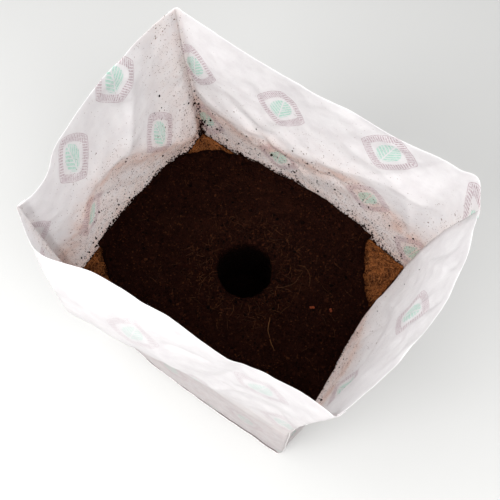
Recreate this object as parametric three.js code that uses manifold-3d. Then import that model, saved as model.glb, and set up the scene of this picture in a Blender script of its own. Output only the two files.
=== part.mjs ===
// Fabric grow bag: a five-panel bag of spunbond fabric, filled with a coir block and a layer of
// potting mix that holds one planting hole. The top half of the bag stands open above the fill.
// Units are millimetres. The origin is the middle of the base's underside, +Z is up, +X is the
// bag's long side, and -Y is its front.
import * as THREE from 'three';
import { mergeVertices } from 'three/addons/utils/BufferGeometryUtils.js';
import Module from 'manifold-3d';

const wasm = await Module();
wasm.setup();

// ---- Driving dimensions ----------------------------------------------------------------------
const LENGTH = 300; // filled footprint along X, over the wall fabric
const WIDTH = 240; // filled footprint along Y
const BAG_HEIGHT = 445; // raw top edge of the fabric
const FILL_HEIGHT = 220; // top of the potting mix
const COIR_HEIGHT = 209; // top of the coir block
const FABRIC = 1.2; // fabric thickness
const GAP = 0.4; // clearance between touching pieces

const LAP = 9; // width of the lapped corner seams
const LAP_GAP = 0.8; // clearance under a lap, more than GAP because both surfaces curve
const TRAY_RISE = 12; // height of the base panel's turned-up edge
const TRAY_OFFSET = LAP_GAP + FABRIC + GAP; // turned-up edge, outside the walls' outer face
const THREAD_WIDTH = 1.4; // stitching, along the surface
const THREAD_HEIGHT = 0.8; // stitching, off the surface

const HOLE_DIAMETER = 66; // planting hole
const HOLE_DEPTH = 110; // below the top of the mix
const HOLE_CENTRE = [2, 3];

// Where the four corners of the open top stand.
const RIM_CORNERS = {
  backLeft: [-156, 114],
  backRight: [166, 123],
  frontRight: [177, -112],
  frontLeft: [-136, -131],
};
// How far each wall stands out at the middle of its length (in, if negative): at half the fill's
// height, at the fill's top, at the fold in the free fabric above it, and at the rim.
const FOLD_HEIGHT = 325;
const BOW = {
  back: { belly: 13, fillTop: 11, fold: 1, rim: -5 },
  right: { belly: 13, fillTop: 1, fold: 14, rim: 26 },
  front: { belly: 13, fillTop: 12, fold: 33, rim: 9 },
  left: { belly: 13, fillTop: 7, fold: -3, rim: 13 },
};

const WALL_STEPS = 12; // along each wall
const FILLED_STEP = 18; // height of the facets beside the fill
const OPEN_STEP = 22; // height of the facets above the fill
const THREAD_STEP = 26; // length of the stitching's facets
const THREAD_MARGIN = 16; // stitching starts and stops this far from the fabric's edges

// ---- The bag's outer surface -----------------------------------------------------------------
const CORNERS = ['backLeft', 'backRight', 'frontRight', 'frontLeft'];
const BASE_CORNERS = {
  backLeft: [-LENGTH / 2, WIDTH / 2],
  backRight: [LENGTH / 2, WIDTH / 2],
  frontRight: [LENGTH / 2, -WIDTH / 2],
  frontLeft: [-LENGTH / 2, -WIDTH / 2],
};
const WALLS = {
  back: ['backLeft', 'backRight'],
  right: ['backRight', 'frontRight'],
  front: ['frontRight', 'frontLeft'],
  left: ['frontLeft', 'backLeft'],
};

const SPREAD_START = 0.9 * FILL_HEIGHT; // the corners are upright below this height

// 0 up to just below the fill's top, rising smoothly to 1 at the rim.
function openShare(z) {
  return THREE.MathUtils.smoothstep(z, SPREAD_START, BAG_HEIGHT);
}

function cornerAt(name, z) {
  const base = new THREE.Vector2(...BASE_CORNERS[name]);
  return base.lerp(new THREE.Vector2(...RIM_CORNERS[name]), openShare(z));
}

function bowAt(wall, z) {
  const { belly, fillTop, fold, rim } = BOW[wall];
  const half = FILL_HEIGHT / 2;
  if (z < half) return belly * Math.sin(((z / half) * Math.PI) / 2);
  const { smoothstep } = THREE.MathUtils;
  return (
    belly +
    (fillTop - belly) * smoothstep(z, half, FILL_HEIGHT) +
    (fold - fillTop) * smoothstep(z, FILL_HEIGHT, FOLD_HEIGHT) +
    (rim - fold) * smoothstep(z, FOLD_HEIGHT, BAG_HEIGHT)
  );
}

// A point on a wall's outer face: t runs from 0 to 1, clockwise seen from above.
function wallPoint(wall, t, z) {
  const [from, to] = WALLS[wall].map((name) => cornerAt(name, z));
  const along = to.clone().sub(from);
  const outward = new THREE.Vector2(-along.y, along.x).normalize();
  const bow = bowAt(wall, z) * 4 * t * (1 - t);
  return from.clone().addScaledVector(along, t).addScaledVector(outward, bow);
}

const TANGENT_STEP = 0.004; // share of a wall's length over which its direction is measured

function wallNormal(wall, t, z) {
  const before = wallPoint(wall, t - TANGENT_STEP, z);
  const along = wallPoint(wall, t + TANGENT_STEP, z).sub(before);
  return new THREE.Vector2(-along.y, along.x).normalize();
}

// The closed outline of the whole bag at one height, moved out by offset (in, if negative).
function bagOutline(z, offset) {
  const points = [];
  for (const wall of Object.keys(WALLS)) {
    for (let i = 0; i < WALL_STEPS; i++) {
      const t = i / WALL_STEPS;
      points.push(wallPoint(wall, t, z).addScaledVector(wallNormal(wall, t, z), offset));
    }
  }
  const walls = Object.keys(WALLS);
  walls.forEach((wall, index) => {
    const previous = walls[(index + 3) % 4];
    const corner = wallPoint(wall, 0, z);
    const a = wallNormal(previous, 1, z);
    const b = wallNormal(wall, 0, z);
    const mitre = a.clone().add(b).divideScalar(1 + a.dot(b));
    points[index * WALL_STEPS] = corner.addScaledVector(mitre, offset);
  });
  return points;
}

// ---- Mesh helpers ----------------------------------------------------------------------------
function meshGeometry(vertices, triangles) {
  const geometry = new THREE.BufferGeometry();
  geometry.setAttribute('position', new THREE.Float32BufferAttribute(vertices.flat(), 3));
  geometry.setIndex(triangles.flat());
  return geometry;
}

// Joins a stack of closed loops, each listed in the same direction, into one body whose last
// loop closes onto the first when ring is true, or which has flat ends when it is false.
function loftLoops(loops, ring) {
  const count = loops[0].length;
  const triangles = [];
  const bands = ring ? loops.length : loops.length - 1;
  for (let row = 0; row < bands; row++) {
    const low = row * count;
    const high = ((row + 1) % loops.length) * count;
    for (let i = 0; i < count; i++) {
      const next = (i + 1) % count;
      triangles.push([low + i, low + next, high + next], [low + i, high + next, high + i]);
    }
  }
  if (!ring) {
    const top = (loops.length - 1) * count;
    for (const [a, b, c] of endTriangles(loops[0])) {
      triangles.push([c, b, a]);
    }
    for (const [a, b, c] of endTriangles(loops[loops.length - 1])) {
      triangles.push([top + a, top + b, top + c]);
    }
  }
  const geometry = meshGeometry(loops.flat(), triangles);
  return signedVolume(geometry) < 0 ? turnedInsideOut(geometry) : geometry;
}

// Triangles that fill a loop, found in the plane that the loop lies nearest to.
function endTriangles(loop) {
  const centre = new THREE.Vector3();
  loop.forEach((point) => centre.add(new THREE.Vector3(...point)));
  centre.divideScalar(loop.length);
  const normal = new THREE.Vector3();
  loop.forEach((point, i) => {
    const a = new THREE.Vector3(...point).sub(centre);
    const b = new THREE.Vector3(...loop[(i + 1) % loop.length]).sub(centre);
    normal.add(a.cross(b));
  });
  normal.normalize();
  const sideways = Math.abs(normal.z) > 0.5 ? new THREE.Vector3(1, 0, 0) : new THREE.Vector3(0, 0, 1);
  const u = sideways.cross(normal).normalize();
  const v = normal.clone().cross(u);
  const flat = loop.map((point) => {
    const offset = new THREE.Vector3(...point).sub(centre);
    return new THREE.Vector2(offset.dot(u), offset.dot(v));
  });
  return THREE.ShapeUtils.triangulateShape(flat, []);
}

function signedVolume(geometry) {
  const position = geometry.getAttribute('position');
  const corners = [0, 1, 2].map(() => new THREE.Vector3());
  let sum = 0;
  for (let i = 0; i < geometry.index.count; i += 3) {
    corners.forEach((corner, k) => corner.fromBufferAttribute(position, geometry.index.getX(i + k)));
    sum += corners[0].dot(corners[1].clone().cross(corners[2]));
  }
  return sum / 6;
}

function turnedInsideOut(geometry) {
  const index = Array.from(geometry.index.array);
  for (let i = 0; i < index.length; i += 3) {
    [index[i], index[i + 1]] = [index[i + 1], index[i]];
  }
  geometry.setIndex(index);
  return geometry;
}

function toManifold(geometry) {
  const plain = geometry.clone();
  plain.deleteAttribute('normal');
  plain.deleteAttribute('uv');
  const merged = mergeVertices(plain, 1e-4);
  return new wasm.Manifold(
    new wasm.Mesh({
      numProp: 3,
      vertProperties: new Float32Array(merged.getAttribute('position').array),
      triVerts: new Uint32Array(merged.index.array),
    }),
  );
}

function fromManifold(solid) {
  const mesh = solid.getMesh();
  const result = new THREE.BufferGeometry();
  result.setAttribute('position', new THREE.Float32BufferAttribute(mesh.vertProperties, 3));
  result.setIndex(Array.from(mesh.triVerts));
  return result;
}

function heights(from, to, step) {
  const count = Math.max(1, Math.round((to - from) / step));
  return Array.from({ length: count + 1 }, (_, i) => from + ((to - from) * i) / count);
}

const at = (point, z) => [point.x, point.y, z];

// ---- Fabric ----------------------------------------------------------------------------------
const WALL_BOTTOM = FABRIC + GAP; // the walls stand inside the base panel's turned-up edge
const WALL_HEIGHTS = [
  ...heights(WALL_BOTTOM, FILL_HEIGHT, FILLED_STEP),
  ...heights(FILL_HEIGHT, BAG_HEIGHT, OPEN_STEP).slice(1),
];

// A side panel ends just inside the front and back panels.
function sidePanel(wall) {
  const loops = WALL_HEIGHTS.map((z) => {
    const [from, to] = WALLS[wall].map((name) => cornerAt(name, z));
    const end = (FABRIC * 2 + GAP) / from.distanceTo(to);
    const stations = Array.from({ length: WALL_STEPS + 1 }, (_, i) => {
      return THREE.MathUtils.lerp(end, 1 - end, i / WALL_STEPS);
    });
    const outer = stations.map((t) => wallPoint(wall, t, z));
    const inner = stations.map((t, i) => {
      return outer[i].clone().addScaledVector(wallNormal(wall, t, z), -FABRIC);
    });
    return [...outer, ...inner.reverse()].map((point) => at(point, z));
  });
  return loftLoops(loops, false);
}

const LAP_CHORD = 0.08; // the share of a side wall that sets the direction of the lap beside it
const SHARPEST_BEND = 0.5; // limit on how far a lap's inner corner is drawn along a slanting side

// The outside corner of a front or back panel, where it turns to lap over the side panel.
// It is also where that corner's stitching finds its place, by lifting off the lap.
function lapFrame(wall, end, z) {
  const walls = Object.keys(WALLS);
  const side = walls[(walls.indexOf(wall) + (end === 0 ? 3 : 1)) % 4];
  const sideEnd = 1 - end;
  const corner = wallPoint(wall, end, z);
  const sideNormal = wallNormal(side, sideEnd, z);
  const wallOut = wallNormal(wall, end, z);
  const alongSide = THREE.MathUtils.lerp(sideEnd, end, LAP_CHORD);
  const inward = wallPoint(side, alongSide, z).sub(corner).normalize();
  const bend = 1 / Math.max(SHARPEST_BEND, -wallOut.dot(inward));
  return { corner, sideNormal, inward, bend };
}

function lapPoint(frame, along, lift) {
  const { corner, inward, sideNormal } = frame;
  return corner.clone().addScaledVector(inward, along).addScaledVector(sideNormal, lift);
}

function lappedPanel(wall) {
  const loops = WALL_HEIGHTS.map((z) => {
    const stations = Array.from({ length: WALL_STEPS + 1 }, (_, i) => i / WALL_STEPS);
    const lifts = { inner: LAP_GAP, outer: LAP_GAP + FABRIC };
    const start = lapFrame(wall, 0, z);
    const stop = lapFrame(wall, 1, z);
    const outer = [
      lapPoint(start, LAP, lifts.outer),
      lapPoint(start, 0, lifts.outer),
      ...stations.map((t) => wallPoint(wall, t, z)),
      lapPoint(stop, 0, lifts.outer),
      lapPoint(stop, LAP, lifts.outer),
    ];
    const inner = [
      lapPoint(start, LAP, lifts.inner),
      lapPoint(start, FABRIC * start.bend, lifts.inner),
      ...stations.slice(1, -1).map((t) => {
        return wallPoint(wall, t, z).addScaledVector(wallNormal(wall, t, z), -FABRIC);
      }),
      lapPoint(stop, FABRIC * stop.bend, lifts.inner),
      lapPoint(stop, LAP, lifts.inner),
    ];
    return [...outer, ...inner.reverse()].map((point) => at(point, z));
  });
  return loftLoops(loops, false);
}

// A line of stitching up the lap at one end of a front or back panel.
function cornerThread(wall, end) {
  const rows = heights(THREAD_MARGIN, BAG_HEIGHT - THREAD_MARGIN / 2, THREAD_STEP);
  const loops = rows.map((z) => {
    const frame = lapFrame(wall, end, z);
    const foot = LAP_GAP + FABRIC + GAP;
    const near = (LAP - THREAD_WIDTH) / 2;
    const far = (LAP + THREAD_WIDTH) / 2;
    return [
      lapPoint(frame, near, foot),
      lapPoint(frame, far, foot),
      lapPoint(frame, far, foot + THREAD_HEIGHT),
      lapPoint(frame, near, foot + THREAD_HEIGHT),
    ].map((point) => at(point, z));
  });
  return loftLoops(loops, false);
}

// The base panel is a sheet whose edge is turned up and lapped over the foot of the walls.
function basePanel() {
  const inside = (z) => bagOutline(z, TRAY_OFFSET).map((point) => at(point, z));
  const outside = (z) => bagOutline(z, TRAY_OFFSET + FABRIC).map((point) => at(point, z));
  return loftLoops([inside(FABRIC), inside(TRAY_RISE), outside(TRAY_RISE), outside(0)], false);
}

// Stitching that runs once round the base panel's turned-up edge.
function baseThread() {
  const foot = TRAY_OFFSET + FABRIC + GAP;
  const middle = TRAY_RISE / 2;
  const low = middle - THREAD_WIDTH / 2;
  const high = middle + THREAD_WIDTH / 2;
  const section = [
    [low, foot],
    [low, foot + THREAD_HEIGHT],
    [high, foot + THREAD_HEIGHT],
    [high, foot],
  ];
  return loftLoops(section.map(([z, offset]) => bagOutline(z, offset).map((p) => at(p, z))), true);
}

// ---- Fill ------------------------------------------------------------------------------------
const FILL_INSET = FABRIC + 2 * GAP; // from the walls' outer face
const HOLE_CLEAR = 10; // the hole's cutter passes this far above the mix

function holeCutter() {
  const depth = HOLE_DEPTH + HOLE_CLEAR;
  const cutter = new THREE.CylinderGeometry(HOLE_DIAMETER / 2, HOLE_DIAMETER / 2, depth, 32);
  cutter.rotateX(Math.PI / 2);
  return toManifold(cutter.translate(...HOLE_CENTRE, FILL_HEIGHT - HOLE_DEPTH + depth / 2));
}

// The block's facets stand beside the walls' facets, so that the two stay clear of each other.
function coirBlock() {
  const rows = [...WALL_HEIGHTS.filter((z) => z < COIR_HEIGHT - GAP), COIR_HEIGHT];
  const loops = rows.map((z) => bagOutline(z, -FILL_INSET).map((point) => at(point, z)));
  return fromManifold(toManifold(loftLoops(loops, false)).subtract(holeCutter()));
}

// The mix is spread to the middle of every wall but leaves the coir's corners bare: how far along
// X and Y each corner is bare, and how far the border swells from straight towards the corner.
const BARE_CORNER = {
  backLeft: [58, 46, 0.22],
  backRight: [56, 74, -0.12],
  frontRight: [44, 40, 0.2],
  frontLeft: [60, 46, 0],
};
const BARE_STEPS = 6;
const MIX_BOTTOM = COIR_HEIGHT + GAP;
// The mix's edge, from its foot up: its size as a share of the bag's inside, and its height.
const MIX_EDGE = [
  [1, MIX_BOTTOM],
  [1, FILL_HEIGHT - 4],
  [0.93, FILL_HEIGHT - 1],
  [0.8, FILL_HEIGHT],
];

// A cross whose four inner corners are filled out, up to the bare corners' borders. Its arms reach
// past the bag's walls.
function bareCornerOutline() {
  const reach = WIDTH;
  const points = [];
  CORNERS.forEach((name, index) => {
    const [signX, signY] = BASE_CORNERS[name].map(Math.sign);
    const [cutX, cutY, swell] = BARE_CORNER[name];
    const x = LENGTH / 2 - cutX;
    const y = WIDTH / 2 - cutY;
    const arc = [new THREE.Vector2(signX * reach, signY * y)];
    for (let i = 0; i <= BARE_STEPS; i++) {
      const t = i / BARE_STEPS;
      const out = swell * 2 * t * (1 - t);
      arc.push(new THREE.Vector2(signX * (x + cutX * (1 - t + out)), signY * (y + cutY * (t + out))));
    }
    arc.push(new THREE.Vector2(signX * x, signY * reach));
    points.push(...(index % 2 === 0 ? arc : arc.reverse()));
  });
  return points;
}

function pottingMix() {
  const [spread, corners] = [(z) => bagOutline(z, -FILL_INSET), bareCornerOutline].map((outline) => {
    const loops = MIX_EDGE.map(([share, z]) => {
      return outline(z).map((point) => at(point.multiplyScalar(share), z));
    });
    return toManifold(loftLoops(loops, false));
  });
  return fromManifold(spread.intersect(corners).subtract(holeCutter()));
}

// ---- Loose pieces on the mix -----------------------------------------------------------------
const REST_HEIGHT = FILL_HEIGHT + GAP;

const BARK_CHIPS = [
  { at: [91, 12], size: [8, 4.5, 3], turn: 0.5 },
  { at: [110, 22], size: [7, 3.5, 2.5], turn: 2.2 },
];

// A splinter of bark: a box whose ends are drawn in.
function barkChip(chip) {
  const [length, width, height] = chip.size;
  const outline = new THREE.Shape();
  outline.moveTo(-length / 2, 0);
  outline.lineTo(-length / 4, -width / 2);
  outline.lineTo(length / 3, -width / 2);
  outline.lineTo(length / 2, width / 6);
  outline.lineTo(length / 8, width / 2);
  outline.lineTo(-length / 3, width / 2);
  outline.closePath();
  const geometry = new THREE.ExtrudeGeometry(outline, { depth: height, bevelEnabled: false });
  return geometry.rotateZ(chip.turn).translate(...chip.at, REST_HEIGHT);
}

const STRAWS = {
  straw: { radius: 0.8, points: [[60, -26], [66, -38], [74, -46], [86, -54]] },
  root_fibre_left: { radius: 0.5, points: [[44, 6], [52, 12], [58, 22], [58, 34]] },
  root_fibre_right: { radius: 0.5, points: [[48, 44], [58, 46], [68, 40], [74, 30]] },
};

// A stem lying on the mix: a round section along a smooth curve.
function stem({ radius, points }) {
  const height = REST_HEIGHT + radius;
  const path = new THREE.CatmullRomCurve3(points.map(([x, y]) => new THREE.Vector3(x, y, height)));
  const section = new THREE.Shape();
  section.absarc(0, 0, radius, 0, Math.PI * 2);
  return new THREE.ExtrudeGeometry(section, {
    steps: 12,
    curveSegments: 3,
    bevelEnabled: false,
    extrudePath: path,
  });
}

// ---- Assembly --------------------------------------------------------------------------------
const FINISH = {
  fabric: { color: 0xe9e5e6, roughness: 0.9 },
  thread: { color: 0xf4f3f0, roughness: 0.6 },
  coir: { color: 0x6b4220, roughness: 1 },
  mix: { color: 0x1d100a, roughness: 1 },
  bark: { color: 0x7a2c14, roughness: 0.8 },
  straw: { color: 0x8f6f42, roughness: 0.8 },
};

const group = new THREE.Group();

function addPiece(parent, name, geometry, finish) {
  const material = new THREE.MeshStandardMaterial({ ...FINISH[finish], metalness: 0 });
  const mesh = new THREE.Mesh(geometry, material);
  mesh.name = name;
  parent.add(mesh);
}

const bag = new THREE.Group();
group.add(bag);
addPiece(bag, 'base_panel', basePanel(), 'fabric');
addPiece(bag, 'back_panel', lappedPanel('back'), 'fabric');
addPiece(bag, 'front_panel', lappedPanel('front'), 'fabric');
addPiece(bag, 'left_panel', sidePanel('left'), 'fabric');
addPiece(bag, 'right_panel', sidePanel('right'), 'fabric');
addPiece(bag, 'base_stitching', baseThread(), 'thread');
addPiece(bag, 'back_left_stitching', cornerThread('back', 0), 'thread');
addPiece(bag, 'back_right_stitching', cornerThread('back', 1), 'thread');
addPiece(bag, 'front_right_stitching', cornerThread('front', 0), 'thread');
addPiece(bag, 'front_left_stitching', cornerThread('front', 1), 'thread');

const fill = new THREE.Group();
group.add(fill);
addPiece(fill, 'coir_block', coirBlock(), 'coir');
addPiece(fill, 'potting_mix', pottingMix(), 'mix');
BARK_CHIPS.forEach((chip, i) => addPiece(fill, `bark_chip_${i + 1}`, barkChip(chip), 'bark'));
Object.entries(STRAWS).forEach(([name, shape]) => addPiece(fill, name, stem(shape), 'straw'));

export default group;
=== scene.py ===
"""Fabric grow bag: a bag of white spunbond fabric around a coir block and a layer of potting mix.

The CAD model gives the places and sizes. This script makes the visible fabric, stitching and fill.
Lengths are in metres. Listed shape values are in millimetres and are scaled by MM.
"""
import math
import random

import bpy
import numpy as np
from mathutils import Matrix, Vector, noise


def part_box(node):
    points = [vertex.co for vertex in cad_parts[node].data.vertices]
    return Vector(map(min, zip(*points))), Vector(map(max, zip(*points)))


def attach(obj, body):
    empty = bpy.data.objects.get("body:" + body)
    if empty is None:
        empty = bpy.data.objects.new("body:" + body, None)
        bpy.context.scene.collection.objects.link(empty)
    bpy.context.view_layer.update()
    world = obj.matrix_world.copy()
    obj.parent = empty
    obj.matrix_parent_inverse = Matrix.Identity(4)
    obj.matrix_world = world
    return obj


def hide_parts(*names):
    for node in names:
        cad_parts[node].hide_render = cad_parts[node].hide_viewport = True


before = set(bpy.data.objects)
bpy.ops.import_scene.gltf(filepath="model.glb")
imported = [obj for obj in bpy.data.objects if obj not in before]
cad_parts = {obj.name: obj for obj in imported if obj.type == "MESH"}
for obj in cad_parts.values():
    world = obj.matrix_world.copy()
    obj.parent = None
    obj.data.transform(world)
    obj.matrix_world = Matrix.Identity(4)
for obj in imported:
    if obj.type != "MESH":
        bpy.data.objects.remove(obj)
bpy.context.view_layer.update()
MM = 0.001

# ---- Places from the CAD model ----
FILL_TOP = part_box("potting_mix")[1].z
COIR_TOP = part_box("coir_block")[1].z
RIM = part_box("back_panel")[1].z


def foot_of(node):
    """The lowest row of a CAD node's points, as an array."""
    points = np.array([v.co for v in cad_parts[node].data.vertices])
    return points[points[:, 2] < points[:, 2].min() + MM]


HALF_X = -foot_of("left_panel")[:, 0].min()
HALF_Y = foot_of("back_panel")[:, 1].max()

# ---- The bag's surface ----
# Walls run clockwise seen from above, each from its first corner to its second.
WALLS = ("back", "right", "front", "left")
COLUMNS = {"back": 160, "right": 128, "front": 160, "left": 128}
# Each wall's width at its foot.
WIDTH = {"back": 2 * HALF_X, "right": 2 * HALF_Y, "front": 2 * HALF_X, "left": 2 * HALF_Y}
# 1 where a distance along the wall (see FOLDS) grows from its first corner, -1 where it falls.
SIGN = {"back": 1, "right": -1, "front": -1, "left": 1}
ROWS = 236
LEVELS = np.array([0, 90, 218, 300, 370, 445]) * MM
STATIONS = np.array([0, 0.1, 0.3, 0.5, 0.7, 0.9, 0.96, 1])

# Each corner at each level, in mm.
CORNERS = {
    "back_left": [(-150, 120), (-153, 122), (-151, 119), (-151, 114), (-154, 111), (-158, 112)],
    "back_right": [(150, 120), (153, 122), (150, 119), (156, 118), (165, 112), (177, 102)],
    "front_right": [(150, -120), (153, -123), (150, -119), (155, -117), (165, -115), (177, -112)],
    "front_left": [(-150, -120), (-153, -124), (-150, -122), (-148, -126), (-143, -128), (-136, -130)],
}
ENDS = {
    "back": ("back_left", "back_right"),
    "right": ("back_right", "front_right"),
    "front": ("front_right", "front_left"),
    "left": ("front_left", "back_left"),
}
# How far each wall stands out from the straight line between its corners, in mm: a row for each
# level, a value for each station between the ends.
BULGES = {
    "back": [
        (0, 0, 0, 0, 0, 0), (3, 8, 10, 8, 3, 1), (1, 5, 12, 11, 5, 2),
        (2, 4, 6, 8, 8, 6), (-1, 3, 7, 11, 13, 13), (0, 1, 6, 12, 21, 22),
    ],
    "right": [
        (0, 0, 0, 0, 0, 0), (3, 7, 9, 7, 3, 1), (-1, -5, -3, 3, 4, 2),
        (3, 7, 10, 10, 6, 3), (3, 10, 14, 12, 6, 3), (7, 17, 20, 16, 6, 3),
    ],
    "front": [
        (1, 4, 6, 6, 3, 1), (3, 7, 10, 10, 5, 2), (4, 8, 11, 13, 9, 5),
        (3, 15, 27, 34, 25, 12), (2, 10, 21, 31, 23, 11), (-1, 8, 7, 10, 18, 8),
    ],
    "left": [
        (0, 0, 0, 0, 0, 0), (3, 8, 10, 8, 3, 1), (2, 7, 7, 5, -1, -0.5),
        (-2, 3, 7, 7, 5, 2), (-4, 5, 10, 11, 6, 3), (-4, 9, 13, 13, 6, 3),
    ],
}

# Folds in the free fabric: a crest line of (along the wall from its middle, height) points in mm,
# its reach right and left of the line, and how far the crest stands out (in, if negative). Along is
# +X on the front and back walls and +Y on the side walls.
FOLDS = {
    "back": [
        ([(-149, 297), (-77, 302), (-11, 315), (47, 342), (91, 362), (150, 362)], 70, 80, -6),
        ([(104, 362), (128, 300), (150, 232)], 22, 26, -4),
        ([(-60, 292), (-30, 360), (-22, 445)], 20, 26, 2.5),
        ([(60, 350), (95, 400), (110, 445)], 24, 20, 2.5),
    ],
    "right": [
        ([(96, 222), (61, 225), (38, 300), (30, 330)], 22, 16, -4),
        ([(121, 284), (92, 330), (53, 440)], 16, 22, -4),
        ([(96, 232), (20, 300), (-40, 320), (-100, 330)], 26, 34, 4),
        ([(90, 240), (80, 340), (85, 430)], 14, 14, 2),
    ],
    "front": [
        ([(-110, 440), (-90, 340), (-100, 240)], 26, 26, 4),
        ([(70, 445), (74, 400), (60, 330)], 16, 16, -4),
        ([(-20, 445), (0, 360), (40, 280)], 26, 26, 3),
        ([(150, 300), (90, 330), (20, 300), (-40, 310)], 40, 40, -4),
    ],
    "left": [
        ([(112, 222), (45, 295), (0, 346), (-44, 356), (-76, 344)], 66, 70, -12),
        ([(-68, 344), (-80, 305), (-102, 236)], 28, 38, -10),
        ([(46, 445), (42, 390), (2, 338)], 26, 40, -8),
        ([(112, 230), (108, 300), (104, 400)], 12, 16, -2),
    ],
}
# How round a crest is, in mm, and the number of small folds on each wall.
CREST_RADIUS = 1.1
SMALL_CREST_RADIUS = 2.6
SMALL_FOLDS = 60


def hermite(x, xp, fp):
    """Smooth interpolation of the rows of fp, given at xp, for every x."""
    fp = np.asarray(fp, float)
    slope = np.gradient(fp, xp, axis=0)
    i = np.clip(np.searchsorted(xp, x, side="right") - 1, 0, len(xp) - 2)
    h = (xp[i + 1] - xp[i]).reshape((-1,) + (1,) * (fp.ndim - 1))
    t = ((x - xp[i]) / (xp[i + 1] - xp[i])).reshape(h.shape)
    a = (1 + 2 * t) * (1 - t) ** 2 * fp[i] + t * (1 - t) ** 2 * h * slope[i]
    b = t * t * (3 - 2 * t) * fp[i + 1] + t * t * (t - 1) * h * slope[i + 1]
    return a + b


def smoothstep(x, low, high):
    t = np.clip((x - low) / (high - low), 0, 1)
    return t * t * (3 - 2 * t)


def unit(vectors):
    """Vectors, along the last axis, brought to length 1."""
    return vectors / np.linalg.norm(vectors, axis=-1, keepdims=True)


def fold_height(s, z, line, right, left, crest, radius=CREST_RADIUS):
    """A fold's offset at points (s, z): a sharp crest along the line, fading over its reach."""
    line = np.array(line, float)
    best = np.full(s.shape, np.inf)
    side = np.zeros(s.shape)
    along = np.zeros(s.shape)
    lengths = np.hypot(*np.diff(line, axis=0).T)
    total = 0.0
    for (ax, az), (bx, bz), length in zip(line[:-1], line[1:], lengths):
        dx, dz = (bx - ax) / length, (bz - az) / length
        run = np.clip((s - ax) * dx + (z - az) * dz, 0, length)
        gap_s, gap_z = s - ax - run * dx, z - az - run * dz
        distance = np.hypot(gap_s, gap_z)
        nearer = distance < best
        best = np.where(nearer, distance, best)
        side = np.where(nearer, gap_z * dx - gap_s * dz, side)
        along = np.where(nearer, total + run, along)
        total += length
    reach = right + (left - right) * smoothstep(side / (best + 1), -1, 1)
    soft = np.sqrt(best**2 + radius**2) - radius
    tent = np.clip(1 - soft / reach, 0, 1)
    tent = tent * (0.35 + 0.65 * tent)
    first, last = (smoothstep(gap, -0.12 * total, 0.2 * total) for gap in (along, total - along))
    return crest * tent * (first * last)


def small_folds(wall, half):
    """Seeded short creases, most of them slanting, for one wall."""
    draw = random.Random(f"folds {wall}")
    found = []
    for _ in range(SMALL_FOLDS):
        s, z = draw.uniform(-half, half), draw.uniform(FILL_TOP / MM, RIM / MM)
        angle = draw.choice((1, -1)) * draw.uniform(0.15, 1.35)
        length = draw.uniform(18, 85)
        bend = draw.uniform(-0.25, 0.25)
        line = [
            (s - length / 2 * math.cos(angle), z - length / 2 * math.sin(angle)),
            (s, z),
            (s + length / 2 * math.cos(angle + bend), z + length / 2 * math.sin(angle + bend)),
        ]
        reach = draw.uniform(7, 22)
        crest = draw.choice((1, -1)) * draw.uniform(0.3, 1.5)
        found.append((line, reach, reach * draw.uniform(0.7, 1.4), crest, SMALL_CREST_RADIUS))
    return found


def noise_grid(points, scale, seed, octaves):
    """Blender's smooth noise, around 0, at each row of points. Flat points are taken at height 0."""
    points = np.pad(points, ((0, 0), (0, 3 - points.shape[1])))
    shift = Vector((seed * 7.31, seed * 3.77, seed * 1.93))
    values = [noise.fractal(Vector(p) / scale + shift, 1.0, 2.0, octaves) for p in points]
    return np.array(values)


HEIGHTS = np.linspace(2 * MM, RIM, ROWS)


def wall_surface(wall):
    """(points, along) for one wall: points[row, column] and the signed distance along the wall."""
    first, second = (hermite(HEIGHTS, LEVELS, np.array(CORNERS[c]) * MM) for c in ENDS[wall])
    columns = COLUMNS[wall]
    t = np.arange(columns) / columns
    levels = np.pad(np.array(BULGES[wall], float), ((0, 0), (1, 1))) * MM
    at_rows = hermite(HEIGHTS, LEVELS, levels)
    out = hermite(t, STATIONS, at_rows.T).T
    width = WIDTH[wall]
    along = SIGN[wall] * (t - 0.5) * width
    s, z = np.meshgrid(along / MM, HEIGHTS / MM)
    free = smoothstep(z, FILL_TOP / MM - 6, FILL_TOP / MM + 34)
    ends = np.minimum(t, 1 - t) * width / MM
    hold = smoothstep(ends, 0, 22)[None, :]
    folds = sum(fold_height(s, z, *f) for f in FOLDS[wall])
    crumple = sum(fold_height(s, z, *f) for f in small_folds(wall, width / 2 / MM))
    out = out + (folds * hold + crumple * smoothstep(ends, 0, 9)[None, :]) * free * MM
    chord = second - first
    normal = unit(np.stack([-chord[:, 1], chord[:, 0]], 1))
    flat = first[:, None] + t[None, :, None] * chord[:, None] + out[..., None] * normal[:, None]
    points = np.concatenate([flat, np.repeat(HEIGHTS[:, None, None], columns, 1)], 2)
    return points, along


def rounded(points, start, reach):
    """The closed rows of points, with the corner at each start index rounded over reach columns."""
    kernel = np.hanning(2 * reach + 3)[1:-1]
    kernel /= kernel.sum()
    count = points.shape[1]
    smooth = np.zeros_like(points)
    for weight, shift in zip(kernel, range(-reach, reach + 1)):
        smooth += weight * np.roll(points, shift, axis=1)
    share = np.zeros(count)
    for corner in start:
        gap = np.abs((np.arange(count) - corner + count // 2) % count - count // 2)
        share = np.maximum(share, 1 - smoothstep(gap, reach, 3 * reach))
    return points + (smooth - points) * share[None, :, None]


def surface_normals(points):
    """The outward normals of closed rows of points."""
    across = np.roll(points, -1, axis=1) - np.roll(points, 1, axis=1)
    return unit(np.cross(np.gradient(points, axis=0), across))


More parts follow.
